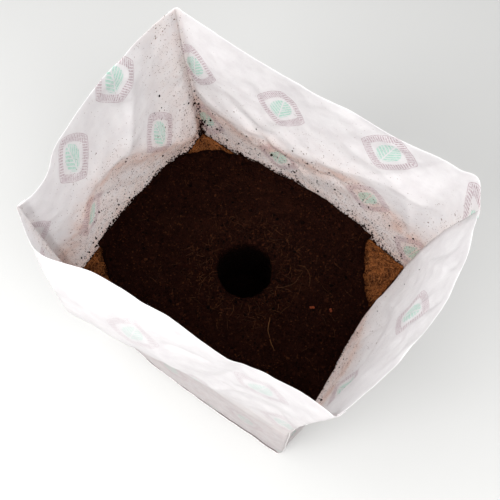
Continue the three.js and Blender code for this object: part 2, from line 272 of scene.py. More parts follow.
def bag_surface():
    """The whole closed wall: points and outward normals as [row, column, xyz]."""
    parts = [wall_surface(w)[0] for w in WALLS]
    starts = np.cumsum([0] + [p.shape[1] for p in parts])[:-1]
    points = rounded(np.concatenate(parts, 1), starts, 2)
    normals = surface_normals(points)
    flat = points.reshape(-1, 3)
    lumps = noise_grid(flat, 30 * MM, 1, 2) * 1.3 * MM + noise_grid(flat, 9 * MM, 2, 2) * 0.28 * MM
    press = 1 - 0.55 * smoothstep(points[..., 2], FILL_TOP, FILL_TOP + 0.05)
    points = points + normals * (lumps.reshape(press.shape) * press)[..., None]
    return points, surface_normals(points), dict(zip(WALLS, starts))


SURFACE, NORMALS, STARTS = bag_surface()
TOTAL = SURFACE.shape[1]


# ---- Node graph helper ----
class Graph:
    """Builds a material's node tree from short calls. Sockets and numbers mix freely."""

    def __init__(self, name):
        self.material = bpy.data.materials.new(name)
        self.material.use_nodes = True
        self.tree = self.material.node_tree
        self.tree.nodes.clear()
        self.out = self.tree.nodes.new("ShaderNodeOutputMaterial")

    def node(self, kind, inputs, **options):
        """A node with its options set and its inputs, by name or number, fed."""
        found = self.tree.nodes.new(kind)
        for key, value in options.items():
            setattr(found, key, value)
        for key, value in inputs.items():
            self.feed(found.inputs[key], value)
        return found

    def feed(self, socket, value):
        if isinstance(value, bpy.types.NodeSocket):
            self.tree.links.new(value, socket)
        elif value is not None:
            opaque = socket.type == "RGBA" and len(value) == 3
            socket.default_value = (*value, 1) if opaque else value

    def math(self, operation, a, b=None, c=None):
        return self.node("ShaderNodeMath", {0: a, 1: b, 2: c}, operation=operation).outputs[0]

    def times(self, a, b):
        return self.math("MULTIPLY", a, b)

    def minus(self, a, b):
        return self.math("SUBTRACT", a, b)

    def absolute(self, a):
        return self.math("ABSOLUTE", a)

    def vector_math(self, operation, a, b):
        return self.node("ShaderNodeVectorMath", {0: a, 1: b}, operation=operation).outputs["Vector"]

    def parts(self, kind, value):
        """The three parts of a vector (kind XYZ) or a colour (kind Color)."""
        return self.node("ShaderNodeSeparate" + kind, {0: value}).outputs

    def object_place(self):
        return self.node("ShaderNodeTexCoord", {}).outputs["Object"]

    def attribute(self, name, output="Fac"):
        return self.node("ShaderNodeAttribute", {}, attribute_name=name).outputs[output]

    def noise(self, vector, scale, detail=3.0, roughness=0.55, output="Fac"):
        inputs = {"Vector": vector, "Scale": scale, "Detail": detail, "Roughness": roughness}
        return self.node("ShaderNodeTexNoise", inputs).outputs[output]

    def voronoi(self, vector, scale, output="Distance", dimensions="3D"):
        inputs = {"Vector": vector, "Scale": scale}
        return self.node("ShaderNodeTexVoronoi", inputs, voronoi_dimensions=dimensions).outputs[output]

    def ramp(self, value, low, high, to_low=0.0, to_high=1.0):
        inputs = {0: value, 1: low, 2: high, 3: to_low, 4: to_high}
        return self.node("ShaderNodeMapRange", inputs, interpolation_type="SMOOTHSTEP").outputs["Result"]

    def mix(self, share, a, b):
        return self.node("ShaderNodeMix", {0: share, 6: a, 7: b}, data_type="RGBA").outputs[2]

    def bump(self, height, distance, strength=1.0, normal=None):
        inputs = {"Height": height, "Distance": distance, "Strength": strength, "Normal": normal}
        return self.node("ShaderNodeBump", inputs).outputs["Normal"]

    def principled(self, color, roughness, normal=None, **values):
        inputs = {"Base Color": color, "Roughness": roughness, "Normal": normal}
        inputs.update((key.replace("_", " "), value) for key, value in values.items())
        return self.node("ShaderNodeBsdfPrincipled", inputs).outputs["BSDF"]

    def finish(self, shader):
        self.tree.links.new(shader, self.out.inputs["Surface"])
        return self.material


# ---- Materials ----
# Half the width and height of a printed motif.
PRINT_SIZE = (25 * MM, 32 * MM)
# How much of the fabric's shading is light that comes through it.
TRANSLUCENT_SHARE = 0.55
# Grains of the mix in a metre.
MIX_GRAINS = 620


def print_masks(g):
    """(frame, leaf) masks of a plain printed motif: a veined leaf in a lozenge of short bars."""
    place = g.parts("XYZ", g.attribute("print_place", "Vector"))
    x = g.math("DIVIDE", place[0], PRINT_SIZE[0])
    y = g.math("DIVIDE", place[1], PRINT_SIZE[1])
    wide, high = g.absolute(x), g.absolute(y)
    radius = g.math("ADD", g.math("POWER", wide, 1.3), g.math("POWER", high, 1.3))
    band = g.ramp(g.absolute(g.minus(radius, 0.8)), 0.17, 0.2, 1, 0)
    bars = g.ramp(g.math("SINE", g.times(g.minus(wide, high), 46)), -0.6, -0.1)
    line = g.ramp(g.absolute(g.minus(radius, 1.04)), 0.015, 0.03, 1, 0)
    edge = g.math("MAXIMUM", g.times(band, bars), line)
    there = g.ramp(place[2], 0.98, 1)
    lean = g.minus(x, g.times(y, 0.16))
    side = g.absolute(lean)
    taper = g.minus(1, g.math("POWER", g.math("DIVIDE", high, 0.6), 2))
    blade = g.ramp(g.minus(g.times(taper, 0.44), side), 0, 0.03)
    ribs = g.ramp(g.math("SINE", g.times(g.minus(y, side), 36)), -0.75, -0.4)
    spine = g.ramp(side, 0.015, 0.04)
    leaf = g.times(blade, g.times(ribs, spine))
    return g.times(edge, there), g.times(leaf, there)


def spunbond():
    """White fabric that lets light through, with its prints, creases, stain and dirt specks, painted shade
    where the fill is behind it, and a tan under the creases that is partly stain and partly painted shade.
    """
    g = Graph("spunbond_fabric")
    cloth = g.attribute("cloth", "Vector")
    place = g.object_place()
    cloud = g.noise(place, 55, 4, 0.6)
    fibre = g.noise(place, 900, 3, 0.7)
    base = g.mix(g.ramp(cloud, 0.3, 0.72), (0.85, 0.838, 0.842), (0.79, 0.772, 0.78))
    base = g.mix(g.times(g.ramp(fibre, 0.45, 0.75), 0.35), base, (0.87, 0.86, 0.86))
    # Painted shade: the fabric is darkened and tinted pink where the fill lies behind it.
    pressed = g.attribute("pressed")
    fill_shade_mask = g.times(pressed, g.ramp(g.noise(place, 140, 4, 0.65), 0.3, 0.75, 0.45, 1))
    base = g.mix(g.times(fill_shade_mask, 0.36), base, (0.58, 0.45, 0.43))
    soil = g.attribute("soil")
    stain = g.times(soil, g.ramp(g.noise(place, 75, 5, 0.7), 0.3, 0.68, 0.3, 1))
    base = g.mix(g.times(stain, 0.75), base, (0.9, 0.68, 0.58))
    # Tan under the creases: partly stain, partly painted shade under the creases.
    patchy = g.ramp(g.noise(place, 48, 4, 0.6), 0.35, 0.65, 0.3, 1)
    tan = g.times(g.attribute("crease"), patchy)
    base = g.mix(g.times(tan, 0.55), base, (0.68, 0.42, 0.32))
    edge, leaf = print_masks(g)
    wear = g.ramp(g.noise(place, 520, 4, 0.75), 0.35, 0.62, 0.2, 1)
    # Print strength, with the front's outside prints faded as a painted highlight for glare.
    strength = g.times(wear, g.attribute("print_strength"))
    base = g.mix(g.times(edge, strength), base, (0.42, 0.26, 0.31))
    base = g.mix(g.times(leaf, strength), base, (0.32, 0.68, 0.54))
    for scale, share in ((330, 0.36), (700, 0.62)):
        grain = g.parts("Color", g.voronoi(cloth, scale, "Color", "2D"))
        reach = g.math("MULTIPLY_ADD", grain[1], 0.26, 0.12)
        gap = g.math("DIVIDE", g.voronoi(cloth, scale, "Distance", "2D"), reach)
        present = g.ramp(g.minus(g.times(soil, share), grain[0]), 0, 0.04)
        speck = g.times(g.ramp(gap, 0.7, 1.1, 1, 0), present)
        base = g.mix(g.times(speck, 0.85), base, (0.17, 0.07, 0.05))
    bonds = g.voronoi(cloth, 900)
    height = g.math("ADD", g.times(g.ramp(bonds, 0.15, 0.45), 0.5), fibre)
    fine = g.bump(height, 0.12 * MM, 0.6)
    normal = g.bump(g.noise(place, 130, 4, 0.6), 0.5 * MM, 0.5, fine)
    rough = g.ramp(cloud, 0.3, 0.7, 0.72, 0.86)
    front = g.principled(base, rough, normal, Specular_IOR_Level=0.3, Sheen_Weight=0.08)
    through = g.node("ShaderNodeBsdfTranslucent", {"Color": base, "Normal": normal}).outputs[0]
    both = g.node("ShaderNodeMixShader", {0: TRANSLUCENT_SHARE, 1: front, 2: through})
    return g.finish(both.outputs[0])


def thread_material():
    g = Graph("sewing_thread")
    place = g.object_place()
    twist = g.noise(place, 2600, 2, 0.5)
    color = g.mix(g.ramp(twist, 0.35, 0.65), (0.9, 0.89, 0.87), (0.7, 0.68, 0.66))
    return g.finish(g.principled(color, 0.55, g.bump(twist, 0.1 * MM), Sheen_Weight=0.2))


def mix_material():
    g = Graph("potting_mix")
    place = g.object_place()
    grain = g.parts("Color", g.voronoi(place, MIX_GRAINS, "Color"))
    broad = g.noise(place, 38, 5, 0.65)
    base = g.mix(grain[0], (0.0034, 0.0009, 0.0006), (0.0105, 0.0028, 0.0015))
    base = g.mix(g.ramp(grain[1], 0.93, 0.99), base, (0.03, 0.01, 0.004))
    base = g.mix(g.ramp(broad, 0.5, 0.75, 0, 0.5), base, (0.016, 0.0046, 0.0023))
    # Painted shade: the mix darkens down inside the planting hole.
    hole_shade = g.ramp(g.parts("XYZ", place)[2], FILL_TOP - 26 * MM, FILL_TOP - 3 * MM, 1, 0)
    base = g.mix(g.times(hole_shade, 0.8), base, (0.001, 0.0004, 0.0003))
    rough = g.ramp(grain[2], 0, 1, 0.75, 1)
    fine = g.bump(g.voronoi(place, MIX_GRAINS), 0.9 * MM, 0.9)
    normal = g.bump(g.noise(place, 260, 6, 0.7), 2.2 * MM, 0.8, fine)
    return g.finish(g.principled(base, rough, normal, Specular_IOR_Level=0.02))


def crumb_material():
    g = Graph("mix_crumbs")
    shade = g.attribute("shade")
    place = g.object_place()
    base = g.mix(g.ramp(shade, 0, 0.9), (0.001, 0.0004, 0.0003), (0.016, 0.0045, 0.0023))
    base = g.mix(g.ramp(shade, 0.95, 1), base, (0.034, 0.011, 0.0045))
    normal = g.bump(g.noise(place, 1600, 3, 0.6), 0.25 * MM, 0.8)
    return g.finish(g.principled(base, 0.9, normal, Specular_IOR_Level=0.02))


def coir_material():
    g = Graph("coir")
    place = g.object_place()
    warp = g.vector_math("MULTIPLY", g.noise(place, 45, 3, 0.6, "Color"), (0.05, 0.05, 0.05))
    stretched = g.vector_math("MULTIPLY", g.vector_math("ADD", place, warp), (1, 3.2, 1))
    strands = g.noise(stretched, 300, 6, 0.8)
    patches = g.noise(place, 70, 6, 0.8)
    base = g.mix(g.ramp(strands, 0.4, 0.62), (0.02, 0.005, 0.0015), (0.33, 0.11, 0.031))
    base = g.mix(g.ramp(patches, 0.47, 0.6, 0, 0.88), base, (0.03, 0.009, 0.003))
    fine = g.bump(strands, 1.2 * MM, 0.9)
    normal = g.bump(g.voronoi(place, 330), 1.5 * MM, 0.6, fine)
    return g.finish(g.principled(base, 0.95, normal, Specular_IOR_Level=0.05))


def strand_material(name, dark, light):
    g = Graph(name)
    place = g.object_place()
    shade = g.attribute("shade")
    streak = g.noise(place, 1400, 3, 0.6)
    base = g.mix(g.ramp(g.math("ADD", shade, streak), 0.35, 1.6), dark, light)
    return g.finish(g.principled(base, 0.85, g.bump(streak, 0.15 * MM), Specular_IOR_Level=0.1))


def floor_material():
    g = Graph("studio_floor")
    place = g.object_place()
    base = g.mix(g.noise(place, 3, 2), (0.482, 0.482, 0.475), (0.496, 0.496, 0.489))
    return g.finish(g.principled(base, 0.85))


MATERIALS = {
    "fabric": spunbond(),
    "thread": thread_material(),
    "mix": mix_material(),
    "crumb": crumb_material(),
    "coir": coir_material(),
    "coir_strand": strand_material("coir_strands", (0.012, 0.0035, 0.0012), (0.3, 0.105, 0.031)),
    "mix_strand": strand_material("mix_fibres", (0.006, 0.0018, 0.0008), (0.06, 0.021, 0.007)),
    "straw": strand_material("straw", (0.02, 0.007, 0.003), (0.09, 0.036, 0.012)),
    "bark": strand_material("bark", (0.03, 0.006, 0.003), (0.15, 0.03, 0.01)),
}


# ---- Mesh helpers ----
def add_object(name, data):
    found = bpy.data.objects.new(name, data)
    bpy.context.scene.collection.objects.link(found)
    return found


def make_piece(
    name, vertices, faces, material, slot, replaces=(), smooth=True, flat_faces=0, **attributes
):
    """A mesh that rides on the bag. Its first flat_faces faces are shaded flat."""
    mesh = bpy.data.meshes.new(name)
    mesh.from_pydata([tuple(v) for v in vertices], [], [tuple(f) for f in faces])
    mesh.validate()
    shading = [smooth and i >= flat_faces for i in range(len(mesh.polygons))]
    mesh.polygons.foreach_set("use_smooth", shading)
    for key, values in attributes.items():
        values = np.asarray(values, np.float32)
        kind = "FLOAT" if values.ndim == 1 else "FLOAT_VECTOR"
        layer = mesh.attributes.new(key, kind, "POINT")
        layer.data.foreach_set("value" if kind == "FLOAT" else "vector", values.ravel())
    mesh.update()
    piece = add_object(name, mesh)
    mesh.materials.append(MATERIALS[material])
    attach(piece, "root")
    if replaces:
        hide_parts(*replaces)
    return piece


def grid_faces(rows, columns, closed=False, base=0, flip=False):
    wrap = columns if closed else columns - 1
    faces = []
    for r in range(rows - 1):
        for c in range(wrap):
            a, b = base + r * columns + c, base + r * columns + (c + 1) % columns
            face = (a, b, b + columns, a + columns)
            faces.append(face[::-1] if flip else face)
    return faces


def tube_faces(rings, sides):
    """The faces of a closed tube: between rings of points in order, and over both ends."""
    last = (rings - 1) * sides
    ends = [tuple(range(sides))[::-1], tuple(range(last, last + sides))]
    return grid_faces(rings, sides, closed=True) + ends


def interpolate(x, xp, rows):
    """The rows given at xp, interpolated along straight lines for every x."""
    return np.stack([np.interp(x, xp, column) for column in rows.T], 1)


def ring_at(points, height):
    """Flat points lifted to one height, or each to its own."""
    return np.column_stack([points, np.broadcast_to(height, len(points))])


def direction(angle):
    return np.array([math.cos(angle), math.sin(angle)])


def spun(points, turn):
    """Points turned about Z."""
    c, s = direction(turn)
    return points @ np.array([(c, s, 0), (-s, c, 0), (0, 0, 1)])


class Pile:
    """Gathers many small shapes into one mesh, with a shade value for each."""

    def __init__(self):
        self.vertices, self.faces, self.shades = [], [], []
        self.count = 0

    def add(self, vertices, faces, shade):
        self.vertices.append(vertices)
        self.faces.extend([tuple(self.count + i for i in f) for f in faces])
        self.shades.append(np.full(len(vertices), shade))
        self.count += len(vertices)

    def piece(self, name, material, slot, replaces=(), smooth=False):
        vertices, shades = np.concatenate(self.vertices), np.concatenate(self.shades)
        return make_piece(name, vertices, self.faces, material, slot, replaces, smooth, shade=shades)


GOLDEN = (1 + 5**0.5) / 2
BALL = np.array([
    (-1, GOLDEN, 0), (1, GOLDEN, 0), (-1, -GOLDEN, 0), (1, -GOLDEN, 0), (0, -1, GOLDEN), (0, 1, GOLDEN),
    (0, -1, -GOLDEN), (0, 1, -GOLDEN), (GOLDEN, 0, -1), (GOLDEN, 0, 1), (-GOLDEN, 0, -1), (-GOLDEN, 0, 1),
]) / math.hypot(1, GOLDEN)
BALL_FACES = [
    (0, 11, 5), (0, 5, 1), (0, 1, 7), (0, 7, 10), (0, 10, 11), (1, 5, 9), (5, 11, 4), (11, 10, 2),
    (10, 7, 6), (7, 1, 8), (3, 9, 4), (3, 4, 2), (3, 2, 6), (3, 6, 8), (3, 8, 9), (4, 9, 5),
    (2, 4, 11), (6, 2, 10), (8, 6, 7), (9, 8, 1),
]


def crumb(rng, size, flat=0.7):
    """A rough lump about size across, around the origin."""
    stretch = size / 2 * np.array([1, rng.uniform(0.55, 1), rng.uniform(0.45, flat)])
    lump = BALL * rng.uniform(0.7, 1.15, (12, 1)) * stretch
    return spun(lump, rng.uniform(0, 2 * math.pi))


def tube(points, radii, sides=6):
    """Vertices and faces of a closed tube through points, with a radius at each."""
    tangents = unit(np.gradient(points, axis=0))
    guide = np.array([0, 0, 1.0]) if abs(tangents[0][2]) < 0.9 else np.array([1.0, 0, 0])
    rings = []
    for point, tangent, radius in zip(points, tangents, radii):
        u = np.cross(tangent, guide)
        u /= np.linalg.norm(u)
        v = np.cross(tangent, u)
        guide = guide - tangent * guide.dot(tangent)
        angles = np.arange(sides) * 2 * math.pi / sides
        rings.append(point + radius * (np.cos(angles)[:, None] * u + np.sin(angles)[:, None] * v))
    return np.concatenate(rings), tube_faces(len(points), sides)


# ---- Fabric panels ----
SHEET = 0.5 * MM
LAP = 9 * MM
LAP_LIFT = 0.9 * MM
COLUMN_STEP = WIDTH["left"] / COLUMNS["left"]
# The sheets thin towards the rim: over this height, and by this share.
RIM_TAPER = 4 * MM
RIM_THINNING = 0.7
# The base sheet's height over the floor, how far its turned-up edge stands out, and its bend.
BASE_UNDER = 0.3 * MM
BASE_LIFT = 1.9 * MM
BASE_BEND = 2.2 * MM
# The middles of the printed motifs on each wall, as (along the wall, height) in mm, and those
# beside the fill, which are the same on every wall.
PRINTS = {
    "back": [(-139, 368), (-39, 380), (68, 412), (-139, 257), (-38, 270), (73, 300), (146, 256), (160, 430)],
    "right": [(17, 382), (-65, 327)],
    "front": [(-120, 350), (-20, 372), (98, 385), (-70, 262), (40, 268), (140, 275)],
    "left": [(-48, 408), (30, 432), (-129, 374), (-62, 309), (56, 306)],
}
LOW_PRINTS = [(-112, 160), (-6, 155), (100, 160), (-58, 62), (48, 58), (-160, 60), (152, 62)]
# How strong the prints are on each wall: outside, inside. The front's outside value is low as a painted
# highlight: its prints are faded for the glare on that face.
PRINT_STRENGTH_AND_GLARE = {"back": (0.8, 0.72), "right": (0.8, 0.6), "front": (0.25, 0.7), "left": (0.7, 0.66)}
# The top of the dirty band on each wall's inner face: (along the wall, height) in mm. Just under it lies a
# tan band that is partly stain and partly painted shade under the crease.
DIRT_TOP = {
    "back": [(-150, 292), (-77, 291), (-11, 304), (47, 332), (91, 300), (150, 290)],
    "right": [(-120, 300), (-60, 291), (-29, 278), (-10, 270), (25, 242), (49, 221), (120, 214)],
    "front": [(-150, 262), (0, 250), (150, 255)],
    "left": [
        (-120, 290), (-98, 310), (-76, 342), (-44, 352), (0, 340), (45, 287), (104, 240), (120, 260),
    ],
}


def stain_and_crease_shade(wall, s, z):
    """(dirt, tan) of the inner face at (s, z) in mm: how speckled it is, and how tan its crease, a tan that
    is partly stain and partly painted shade.
    """
    top = np.interp(s, *zip(*DIRT_TOP[wall]))
    up = z - FILL_TOP / MM
    below = 1 - smoothstep(z, top - 3, top + 6)
    dirt = below * (0.42 + 0.58 * np.exp(-np.clip(up, 0, None) / 24))
    dirt = dirt + (1 - below) * 0.16 * np.exp(-np.clip(z - top, 0, None) / 70)
    ends = 150 if wall in ("back", "front") else 120
    dirt = dirt + 0.7 * np.exp(-np.abs(ends - np.abs(s)) / 5) * np.exp(-np.clip(up, 0, None) / 150)
    # A tan band just under the crease: partly stain, partly painted shade under the crease.
    tan = np.exp(-(((top - 13 - z) / 22) ** 2)) * (0.35 if wall == "front" else 1)
    if wall in ("back", "left"):
        gap = s + ends if wall == "back" else ends - s
        fade = np.exp(-np.clip(up, 0, None) / 90)
        tan = tan + 1.5 * np.exp(-np.clip(gap, 0, None) / 3) * fade
        if wall == "left":
            dirt = dirt + 0.25 * (1 - smoothstep(gap, 10, 80))
            tan = tan + 0.3 * (1 - smoothstep(gap, 10, 90)) * fade
    return np.where(up < -12, 0.0, np.clip(dirt, 0, 1)), np.where(up < -12, 0.0, np.clip(tan, 0, 1.2))


def shell(middle, normal, half):
    """The points of a sheet's outer face, then of its inner face, each half off its middle."""
    return np.concatenate([(middle + normal * side).reshape(-1, 3) for side in (half, -half)])


def make_panel(wall):
    """One wall's sheet. The back and front panels lap over the side panels, which stop short."""
    lapped = wall in ("back", "front")
    extra = round(LAP / COLUMN_STEP) if lapped else -1
    index = np.arange(-extra, COLUMNS[wall] + extra + 1)
    columns = (STARTS[wall] + index) % TOTAL
    middle, normal = SURFACE[:, columns], NORMALS[:, columns]
    count = len(columns)
    width = WIDTH[wall]
    along = SIGN[wall] * (index / COLUMNS[wall] - 0.5) * width
    if lapped:
        inset = np.minimum(index, COLUMNS[wall] - index) * width / COLUMNS[wall]
        lift = LAP_LIFT * (1 - smoothstep(inset, -1 * MM, 7 * MM))
        middle = middle + normal * lift[None, :, None]
    thin = RIM_THINNING * smoothstep(HEIGHTS, RIM - RIM_TAPER, RIM)
    vertices = shell(middle, normal, SHEET / 2 * (1 - thin)[:, None, None])
    size = ROWS * count
    rim = [r * count + c for r, c in (
        [(0, c) for c in range(count)]
        + [(r, count - 1) for r in range(1, ROWS)]
        + [(ROWS - 1, c) for c in range(count - 2, -1, -1)]
        + [(r, 0) for r in range(ROWS - 2, 0, -1)]
    )]
    faces = [(b, a, a + size, b + size) for a, b in zip(rim, rim[1:] + rim[:1])]
    faces += grid_faces(ROWS, count) + grid_faces(ROWS, count, base=size, flip=True)
    s, z = np.meshgrid(along, HEIGHTS)
    cloth = np.stack([s, z, np.zeros_like(s)], 2).reshape(-1, 3)
    print_place = np.zeros_like(cloth)
    for print_middle in PRINTS[wall] + LOW_PRINTS:
        away = cloth[:, :2] - np.array(print_middle) * MM
        near = (np.abs(away) < np.array(PRINT_SIZE) * 1.15).all(1)
        print_place[near] = np.column_stack([away[near], np.ones(near.sum())])
    stain, crease = stain_and_crease_shade(wall, s / MM, z / MM)
    inner = np.repeat([0.0, 1.0], size)
    # Painted shade where the fill lies behind the fabric: full below the fill's top.
    pressed = 1 - smoothstep(z, FILL_TOP - 16 * MM, FILL_TOP + 3 * MM).ravel()
    piece = make_piece(
        f"{wall}_fabric", vertices, faces, "fabric", "fabric", [f"{wall}_panel"], flat_faces=len(rim),
        cloth=np.tile(cloth, (2, 1)),
        print_place=np.tile(print_place, (2, 1)),
        soil=np.tile(stain.ravel(), 2) * inner,
        crease=np.tile(crease.ravel(), 2) * inner,
        print_strength=np.repeat(PRINT_STRENGTH_AND_GLARE[wall], size),
        pressed=np.tile(pressed, 2),
    )


def level_out(row):
    """The outward direction of each point in one row of the surface, kept level."""
    return unit(NORMALS[row] * (1, 1, 0))


def make_base():
    """The base panel: flat on the floor, its edge turned up outside the foot of the walls."""
    foot, out = SURFACE[0], level_out(0)
    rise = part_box("base_panel")[1].z
    shares = (0.25, 0.5, 0.75, 0.93)
    rings = [foot * np.array([share, share, 0]) + (0, 0, BASE_UNDER) for share in shares]
    for angle in np.linspace(0, math.pi / 2, 5):
        edge = foot + out * (BASE_LIFT - BASE_BEND + BASE_BEND * math.sin(angle))
        edge[:, 2] = BASE_UNDER + BASE_BEND * (1 - math.cos(angle))
        rings.append(edge)
    for z in (4.5 * MM, 7 * MM, 9.5 * MM, rise):
        edge = SURFACE[row_at(z)] + out * BASE_LIFT
        edge[:, 2] = z
        rings.append(edge)
    middle = np.array(rings)
    vertices = shell(middle, surface_normals(middle), SHEET / 2)
    count = len(rings)
    size = count * TOTAL
    last = size - TOTAL
    faces = grid_faces(count, TOTAL, closed=True) + grid_faces(count, TOTAL, True, size, True)
    for i in range(TOTAL):
        j = (i + 1) % TOTAL
        faces.append((last + i, last + j, size + last + j, size + last + i))
    faces.append(tuple(range(TOTAL))[::-1])
    faces.append(tuple(range(size, size + TOTAL)))
    none = np.zeros(2 * size)
    # The whole base has the painted shade of the fill behind it.
    piece = make_piece(
        "base_fabric", vertices, faces, "fabric", "fabric", ["base_panel"],
        cloth=vertices, print_place=np.zeros((2 * size, 3)), print_strength=none,
        soil=none, crease=none, pressed=np.ones(2 * size),
    )


# ---- Stitching ----
STITCH = 4.2 * MM
STITCH_GAP = 0.9 * MM
THREAD = 0.35 * MM
BASE_SEAM = 7 * MM


def sew(name, path, out):
    """The stitches that stand for the CAD node of that name, each dipping in at its ends."""
    run = np.concatenate([[0], np.cumsum(np.linalg.norm(np.diff(path, axis=0), axis=1))])
    pile = Pile()
    rng = np.random.default_rng(11)
    for start in np.arange(0, run[-1] - STITCH, STITCH + STITCH_GAP):
        share = np.linspace(0, 1, 7)
        points, lift = (interpolate(start + share * STITCH, run, rows) for rows in (path, out))
        arch = np.sin(math.pi * share)
        height = THREAD * (1.15 * arch**0.45 - 0.35)
        vertices, faces = tube(points + lift * height[:, None], THREAD * (0.85 + 0.15 * arch))
        pile.add(vertices, faces, rng.uniform())
    pile.piece(name, "thread", "thread", [name], smooth=True)


def sew_corner(name, wall, end):
    """Stitching up the lap at one end (0 or 1) of the front or back panel."""
    inset = round(LAP / 2 / COLUMN_STEP)
    corner = STARTS[wall] + (COLUMNS[wall] if end else 0)
    column = (corner + (inset if end else -inset)) % TOTAL
    rows = range(8, ROWS - 3)
    normal = NORMALS[rows, column]
    sew(name, SURFACE[rows, column] + normal * (LAP_LIFT + SHEET / 2), normal)


def sew_base():
    """Stitching all round the turned-up edge of the base."""
    row = 3
    out = level_out(row)
    path = SURFACE[row] + out * (BASE_LIFT + SHEET / 2)
    path[:, 2] = BASE_SEAM
    sew("base_stitching", np.vstack([path, path[:1]]), np.vstack([out, out[:1]]))


# ---- Fill ----
HOLE_CENTRE = np.array([2.0, 3.0]) * MM
HOLE_RADIUS = 33 * MM
HOLE_DEPTH = 108 * MM
# Gaps between the fill and the fabric: the mix, the coir's sides and the coir's top edge.
FILL_CLEARANCE = 0.9 * MM
COIR_CLEARANCE = 2.2 * MM
COIR_TOP_CLEARANCE = 1.2 * MM
# Heights, in mm, of the rings down the mix's outer side and up the coir's sides.
MIX_FOOT = (217, 214, 211.5, 209.4)
COIR_LEVELS = (3, 25, 50, 75, 100, 125, 150, 175, 190, 203)
# Points in each ring, and rings from the hole's mouth to the mix's border.
MIX_SPOKES = 420
MIX_RINGS = 118
COIR_SPOKES = 480
# Loose crumbs keep within this share of the mix's outline, so that none shows through the fabric.
CRUMB_REACH = 0.975
# A distance in metres that cuts nothing off.
NO_LIMIT = 9
# The bare corners: how far along X and Y in mm, and how far the mix's border swells from straight.
BARE = {
    "back_left": (58, 46, 0.22),
    "back_right": (56, 74, -0.12),
    "front_right": (44, 40, 0.2),
    "front_left": (60, 46, 0),
}


def row_at(z):
    return int(np.argmin(np.abs(HEIGHTS - z)))


def fill_outline(z, clearance=FILL_CLEARANCE):
    """The closed outline just inside the fabric at one height, as (n, 2)."""
    row = row_at(z)
    return (SURFACE[row] - NORMALS[row] * (SHEET / 2 + clearance))[:, :2]


def quadrant(corner):
    """The signs of X and Y at a corner of the bag."""
    return np.array([1 if "right" in corner else -1, 1 if "back" in corner else -1])


def from_hole(points):
    """Each flat point's distance from the middle of the planting hole."""
    return np.linalg.norm(points - HOLE_CENTRE, axis=1)


def by_angle(outline):
    """An outline's points in rising order of their angle round the hole, and those angles."""
    away = outline - HOLE_CENTRE
    angle = np.unwrap(np.arctan2(away[:, 1], away[:, 0]))
    return (outline[::-1], angle[::-1]) if angle[-1] < angle[0] else (outline, angle)


def follow_on(angle, start):
    """Angles moved by whole turns to lie in the turn after start."""
    return start + (angle - start) % (2 * math.pi)


def equal_angles(count):
    return np.arange(count) * 2 * math.pi / count


def resample(outline, count):
    """Points of a closed outline at equal angles round the hole, starting from angle 0."""
    outline, angle = by_angle(np.vstack([outline, outline[:1]]))
    return interpolate(follow_on(equal_angles(count), angle[0]), angle, outline)


def inside(points, outline):
    """Which points lie in a closed outline that is seen all round from the hole's centre."""
    closed, angle = by_angle(np.vstack([outline, outline[:1]]))
    here = follow_on(np.arctan2(*(points - HOLE_CENTRE).T[::-1]), angle[0])
    return from_hole(points) < np.interp(here, angle, from_hole(closed))


def mix_edge():
    """The mix's border, cut off at the bare corners, and which of its points are on a cut."""
    edge = resample(fill_outline(FILL_TOP), MIX_SPOKES)
    full = reach = from_hole(edge)
    corner = np.array([HALF_X, HALF_Y])
    t = np.linspace(0, 1, 30)[:, None]
    for name, (cut_x, cut_y, swell) in BARE.items():
        cut = np.array([cut_x, cut_y]) * MM
        border = corner - cut + cut * (np.hstack([1 - t, t]) + swell * 2 * t * (1 - t))
        far_x, far_y = [(1, corner[1] - cut[1])], [(corner[0] - cut[0], 1)]
        border, angle = by_angle(np.vstack([far_x, border, far_y]) * quadrant(name))
        here = follow_on(equal_angles(MIX_SPOKES), angle[0])
        limit = from_hole(interpolate(here, angle, border))
        reach = np.minimum(reach, np.where(here <= angle[-1], limit, NO_LIMIT))
    return HOLE_CENTRE + (edge - HOLE_CENTRE) * (reach / full)[:, None], reach < full - 0.1 * MM


def mix_height(points):
    """The top of the mix: nearly level, with soft lumps, fine grain and a lip round the hole."""
    broad = noise_grid(points, 48 * MM, 3, 3) * 3.0
    lumps = noise_grid(points, 12 * MM, 4, 4) * 3.0
    grain = noise_grid(points, 2.6 * MM, 5, 3) * 1.0
    radius = from_hole(points) / HOLE_RADIUS
    lip = 1.8 * np.exp(-(((radius - 1.25) / 0.14) ** 2)) - 3.4 * np.exp(-((radius - 1) / 0.08) ** 2)
    return FILL_TOP + (broad + lumps + grain + lip - 1.2) * MM


def kept_inside(layer):
    """One ring of the mix's points, drawn in wherever the wall at a point's height is nearer."""
    found = layer.copy()
    rows = np.array([row_at(z) for z in layer[:, 2]])
    for row in np.unique(rows):
        here = rows == row
        limit = from_hole(resample(fill_outline(HEIGHTS[row]), MIX_SPOKES))[here]
        flat = layer[here, :2]
        share = np.minimum(1, limit / from_hole(flat))
        found[here, :2] = HOLE_CENTRE + (flat - HOLE_CENTRE) * share[:, None]
    return found


def ring_of_directions(count):
    angles = np.linspace(0, 2 * math.pi, count, endpoint=False)
    return np.stack([np.cos(angles), np.sin(angles)], 1)


